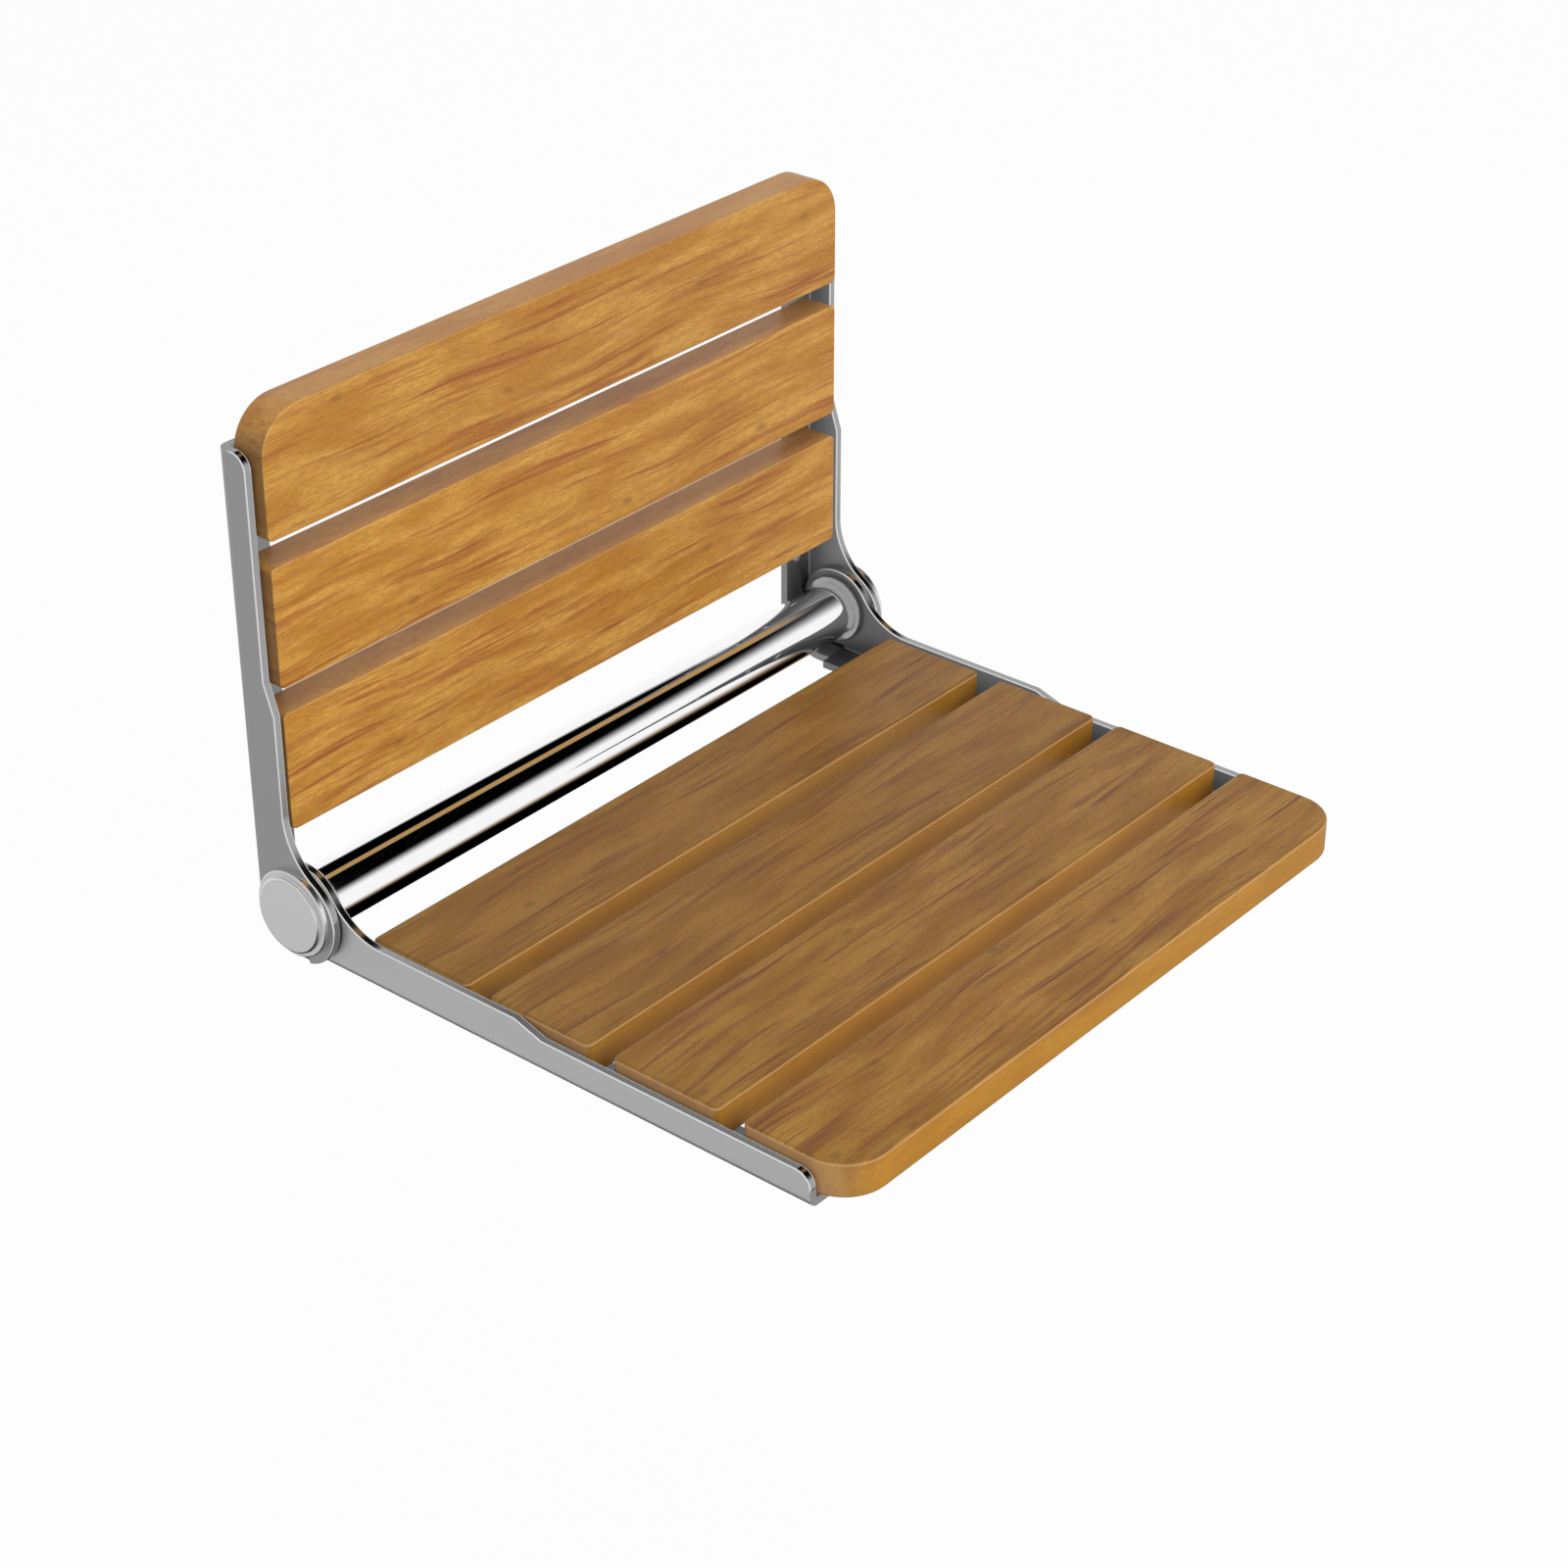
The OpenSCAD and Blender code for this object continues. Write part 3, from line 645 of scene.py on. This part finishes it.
cap_low, cap_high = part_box("hub_cap_right")
cap_r = box_radius("hub_cap_right")
cap_centre = [(cap_low.y + cap_high.y) / 2 / MM, (cap_low.z + cap_high.z) / 2 / MM]
nut_low, nut_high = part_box("axle_nut_right")
nut_room = max(box_radius("axle_nut_right"), (nut_high.y - nut_low.y) / 2) + 4 * FIT
nut_top = nut_high.x + 2 * FIT
face_r = cap_r * CAP_FACE_SHARE
rim_x = cap_low.x + (cap_high.x - cap_low.x) * RIM_SHARE
cap_profile = rounded_profile(
    [(0, cap_high.x), (face_r, cap_high.x), (face_r, rim_x), (cap_r, rim_x), (cap_r, cap_low.x),
     (nut_room, cap_low.x), (nut_room, nut_top), (0, nut_top)],
    [FACE_ROUND, FOOT_ROUND, RIM_ROUND, FIT, FIT, FIT])
cap_metal = turned_face("turned_cap_steel", CAP_STEEL, cap_centre)
for hand, mirrored in (("right", False), ("left", True)):
    turned_piece("turned_hub_cap_" + hand, cap_profile, "hub_cap_" + hand, "wall_frame",
                 cap_metal, mirrored)

# Floor: a wide pale sheet, matt, 450 mm under the seat. The camera sees it almost white,
# with a trace of the object's shadow.
FLOOR_Z = -0.5545
FLOOR_REACH = 9.0
FLOOR_GLOW = 0.95
floor_mesh = bpy.data.meshes.new("pale_floor")
floor_mesh.from_pydata([(u * FLOOR_REACH, v * FLOOR_REACH, FLOOR_Z)
                        for u, v in ((-1, -1), (1, -1), (1, 1), (-1, 1))], [], [(0, 1, 2, 3)])
floor = bpy.data.objects.new("pale_floor", floor_mesh)
bpy.context.scene.collection.objects.link(floor)
floor.visible_glossy = False
floor_paint, paint = new_finish("pale_floor_paint")
seen = paint.add("ShaderNodeLightPath", output="Is Camera Ray")
matt = paint.add("ShaderNodeBsdfDiffuse", None, {"Color": (0.8, 0.8, 0.8, 1)})
bright = paint.add("ShaderNodeEmission", None, {"Color": (1, 1, 1, 1), "Strength": 1.0})
mixed = paint.add("ShaderNodeMixShader", None, {0: seen * FLOOR_GLOW, 1: matt, 2: bright})
paint.add("ShaderNodeOutputMaterial", None, {"Surface": mixed})
floor_mesh.materials.append(floor_paint)

# Surround: white for the camera, soft grey light for matt surfaces. Polished metal sees a
# white room with a greyer left wall, a dark ceiling and a dark, warm ground to the right, and
# a narrow warm strip in that ceiling; the warm ground and strip are a painted reflection of
# the seat and back boards. Each pair is where a part starts and where it is full.
LEFT_WALL, LEFT_WALL_DROP = (-0.45, -0.15), 0.32
BEHIND = (0.0, 0.3)
CEILING_START, CEILING_FULL = (0.2, 0.34), (0.6, 0.06)
GROUND, GROUND_LEFT = (-0.68, -0.38), 0.4
AHEAD = (0.18, 0.34)
STRIP_SIDE, STRIP_HEIGHT, STRIP_LEVEL = (0.08, 0.15), (0.55, 0.63), 0.5
WARM_GROUND = (-0.66, -0.46)
WHITE, WARM = (1, 1, 1), (1.0, 0.56, 0.18)
AMBIENT, AMBIENT_FRONT, AMBIENT_TOP = 0.62, 0.22, 0.04
world = bpy.data.worlds.new("white_surround")
bpy.context.scene.world = world
world.use_nodes = True
sky = Finish(world.node_tree)
toward = sky.add("ShaderNodeTexCoord", output="Generated")
to_x, to_y, to_z = [sky.add("ShaderNodeSeparateXYZ", None, {0: toward}, axis)
                    for axis in range(3)]
left_wall = 1.0 - sky.step(to_x, *LEFT_WALL)
behind = sky.step(to_y, *BEHIND)
high = sky.step(to_z, behind * CEILING_START[1] + CEILING_START[0],
                behind * CEILING_FULL[1] + CEILING_FULL[0])
low = sky.step(to_z + left_wall * GROUND_LEFT, *GROUND)
aside = (to_y * to_y) ** 0.5
ahead = sky.step(to_x, *AHEAD)
# Painted reflection of the back boards, seen in mirrors as a warm strip.
strip = (1.0 - sky.step(aside, *STRIP_SIDE)) * sky.step(to_z, *STRIP_HEIGHT) * ahead
band = (1.0 - high * ahead) * low * (1.0 - left_wall * LEFT_WALL_DROP) + strip * STRIP_LEVEL
ambient = AMBIENT - to_y * AMBIENT_FRONT + to_z * AMBIENT_TOP
glossy = sky.add("ShaderNodeLightPath", output="Is Glossy Ray")
camera_ray = sky.add("ShaderNodeLightPath", output="Is Camera Ray")
through = sky.add("ShaderNodeLightPath", output="Is Transmission Ray")
level = ambient + glossy * (band - ambient)
level = level + (camera_ray + through) * (1.0 - level)
# Painted reflection of the boards: warm tint in the strip and in the ground ahead.
warm = glossy * (strip + (1.0 - sky.step(to_z, *WARM_GROUND)) * ahead)
backdrop = sky.add("ShaderNodeBackground", None,
                   {"Color": sky.blend(warm, WHITE, WARM), "Strength": level})
sky.add("ShaderNodeOutputWorld", None, {"Surface": backdrop})

# Lamps: two big soft boxes, one in front and one overhead, that polished metal doesn't show.
# Each has its place and width in metres and its power in watts, and faces one point, AIM.
LAMPS = {"front_softbox": ((-0.9, -2.4, 1.3), 1.6, 26.0),
         "top_softbox": ((0.6, -0.6, 2.4), 1.8, 12.0)}
AIM = np.array([0.0, -0.1, -0.03])
for name, (spot, width, power) in LAMPS.items():
    lamp = bpy.data.lights.new(name, "AREA")
    lamp.size = width
    lamp.energy = power
    softbox = bpy.data.objects.new(name, lamp)
    bpy.context.scene.collection.objects.link(softbox)
    away = np.array(spot) - AIM
    softbox.location = spot
    softbox.rotation_euler = (math.atan2(math.hypot(away[0], away[1]), away[2]), 0,
                              math.atan2(away[0], -away[1]))
    softbox.visible_glossy = False

# Camera: the photograph's place and lens, upright, looking down from the front left. Its
# turn and its dip are in degrees.
CAMERA_AT = (-1059.7 * MM, -1028.9 * MM, 732.6 * MM)
CAMERA_TURN, CAMERA_DIP = -50.27, 30.43
LENS, SENSOR = 78.554, 36.0
eye = bpy.data.cameras.new("studio_camera")
eye.lens = LENS
eye.sensor_width = SENSOR
camera = bpy.data.objects.new("studio_camera", eye)
bpy.context.scene.collection.objects.link(camera)
camera.location = CAMERA_AT
camera.rotation_euler = (math.radians(90 - CAMERA_DIP), 0, math.radians(CAMERA_TURN))
bpy.context.scene.camera = camera
bpy.context.scene.view_settings.view_transform = "Standard"
